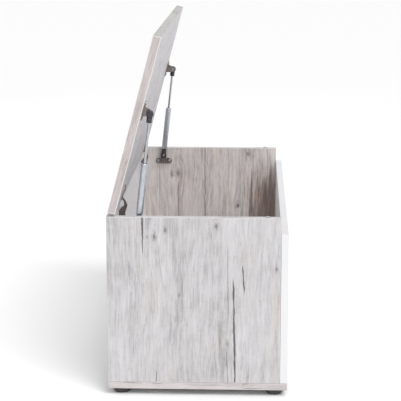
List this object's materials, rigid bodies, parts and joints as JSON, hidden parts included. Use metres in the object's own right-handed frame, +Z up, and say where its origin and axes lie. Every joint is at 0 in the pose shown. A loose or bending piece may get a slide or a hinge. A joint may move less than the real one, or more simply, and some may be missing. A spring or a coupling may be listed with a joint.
{
  "type": "storage bench",
  "caption": "Low rectangular storage bench of board panels on round glides, with a lift-up seat lid on concealed hinges held open by gas struts.",
  "frame": {"origin": "centre of the footprint, on the floor", "axes": "X along the bench's length, -Y towards its front panel, +Y towards its rear edge and hinges, +Z up"},
  "size_m": [0.9, 0.4, 0.8045],
  "materials": {
    "pine_decor": "whitewashed pine decor laminate, matt with open-grain print",
    "white_board": "white melamine, fine pearl, satin",
    "dark_glide": "matt moulded",
    "black_nylon": "matt moulded",
    "strut_tube": "silver-grey lacquer",
    "chrome_rod": "ground and polished",
    "zinc_steel": "zinc plated",
    "nickel_hinge": "nickel plated pressing",
    "beech_dowel": "raw beech",
    "clear_bumper": "soft translucent"
  },
  "bodies": {
    "carcass": {"bottom_panel": "pine_decor", "side_panel_left": "pine_decor", "side_panel_right": "pine_decor", "front_panel": "white_board", "back_panel": "white_board", "foot_glide_front_left": "dark_glide", "foot_glide_front_right": "dark_glide", "foot_glide_rear_left": "dark_glide", "foot_glide_rear_right": "dark_glide", "carcass_screw_left_front": "zinc_steel", "carcass_screw_left_rear": "zinc_steel", "front_dowel_left_lower": "beech_dowel", "front_dowel_left_upper": "beech_dowel", "back_dowel_left": "beech_dowel", "lid_bumper_left": "clear_bumper", "carcass_bracket_left": "zinc_steel", "carcass_ball_stud_left": "chrome_rod", "carcass_bracket_screw_left_front": "zinc_steel", "carcass_bracket_screw_left_rear": "zinc_steel", "hinge_plate_left": "nickel_hinge", "hinge_arm_left": "nickel_hinge", "hinge_plate_screw_left_a": "zinc_steel", "hinge_plate_screw_left_b": "zinc_steel", "carcass_screw_right_front": "zinc_steel", "carcass_screw_right_rear": "zinc_steel", "front_dowel_right_lower": "beech_dowel", "front_dowel_right_upper": "beech_dowel", "back_dowel_right": "beech_dowel", "lid_bumper_right": "clear_bumper", "carcass_bracket_right": "zinc_steel", "carcass_ball_stud_right": "chrome_rod", "carcass_bracket_screw_right_front": "zinc_steel", "carcass_bracket_screw_right_rear": "zinc_steel", "hinge_plate_right": "nickel_hinge", "hinge_arm_right": "nickel_hinge", "hinge_plate_screw_right_a": "zinc_steel", "hinge_plate_screw_right_b": "zinc_steel"},
    "lid": {"lid_panel": "pine_decor", "lid_bracket_screw_left_front": "zinc_steel", "lid_bracket_screw_left_rear": "zinc_steel", "lid_bracket_left": "zinc_steel", "lid_ball_stud_left": "chrome_rod", "hinge_cup_left": "nickel_hinge", "lid_bracket_screw_right_front": "zinc_steel", "lid_bracket_screw_right_rear": "zinc_steel", "lid_bracket_right": "zinc_steel", "lid_ball_stud_right": "chrome_rod", "hinge_cup_right": "nickel_hinge"},
    "strut_tube_left": {"strut_cylinder_left": "strut_tube", "strut_lower_socket_left": "black_nylon"},
    "strut_rod_left": {"strut_rod_left": "chrome_rod", "strut_piston_left": "black_nylon", "strut_upper_socket_left": "black_nylon"},
    "hinge_link_left": {"hinge_link_left": "nickel_hinge"},
    "strut_tube_right": {"strut_cylinder_right": "strut_tube", "strut_lower_socket_right": "black_nylon"},
    "strut_rod_right": {"strut_rod_right": "chrome_rod", "strut_piston_right": "black_nylon", "strut_upper_socket_right": "black_nylon"},
    "hinge_link_right": {"hinge_link_right": "nickel_hinge"}
  },
  "joints": [
    {"name": "lid_hinge", "type": "hinge", "parent": "carcass", "child": "lid", "pos_m": [0, 0.191, 0.426], "axis": [1, 0, 0], "range_deg": [0, 75], "stiffness_Nm_per_rad": 2, "springref_deg": -85.94},
    {"name": "strut_swing_left", "type": "hinge", "parent": "carcass", "child": "strut_tube_left", "pos_m": [-0.42, 0.131, 0.389], "axis": [1, 0, 0], "range_deg": [0, 82]},
    {"name": "strut_slide_left", "type": "slide", "parent": "strut_tube_left", "child": "strut_rod_left", "axis": [0, -0.1113, 0.9938], "range_m": [-0.0835, 0]},
    {"name": "hinge_link_turn_left", "type": "hinge", "parent": "carcass", "child": "hinge_link_left", "pos_m": [-0.31, 0.16979, 0.40479], "axis": [1, 0, 0], "range_deg": [-31.2, 0]},
    {"name": "strut_swing_right", "type": "hinge", "parent": "carcass", "child": "strut_tube_right", "pos_m": [0.42, 0.131, 0.389], "axis": [1, 0, 0], "range_deg": [0, 82]},
    {"name": "strut_slide_right", "type": "slide", "parent": "strut_tube_right", "child": "strut_rod_right", "axis": [0, -0.1113, 0.9938], "range_m": [-0.0835, 0]},
    {"name": "hinge_link_turn_right", "type": "hinge", "parent": "carcass", "child": "hinge_link_right", "pos_m": [0.31, 0.16979, 0.40479], "axis": [1, 0, 0], "range_deg": [-31.2, 0]}
  ],
  "couplings": [
    {"joint": "strut_swing_left", "follows": "lid_hinge", "ratio": 1.0864},
    {"joint": "strut_slide_left", "follows": "lid_hinge", "m_per_rad": -0.063292},
    {"joint": "hinge_link_turn_left", "follows": "lid_hinge", "ratio": -0.41128},
    {"joint": "strut_swing_right", "follows": "lid_hinge", "ratio": 1.0864},
    {"joint": "strut_slide_right", "follows": "lid_hinge", "m_per_rad": -0.063292},
    {"joint": "hinge_link_turn_right", "follows": "lid_hinge", "ratio": -0.41128}
  ]
}
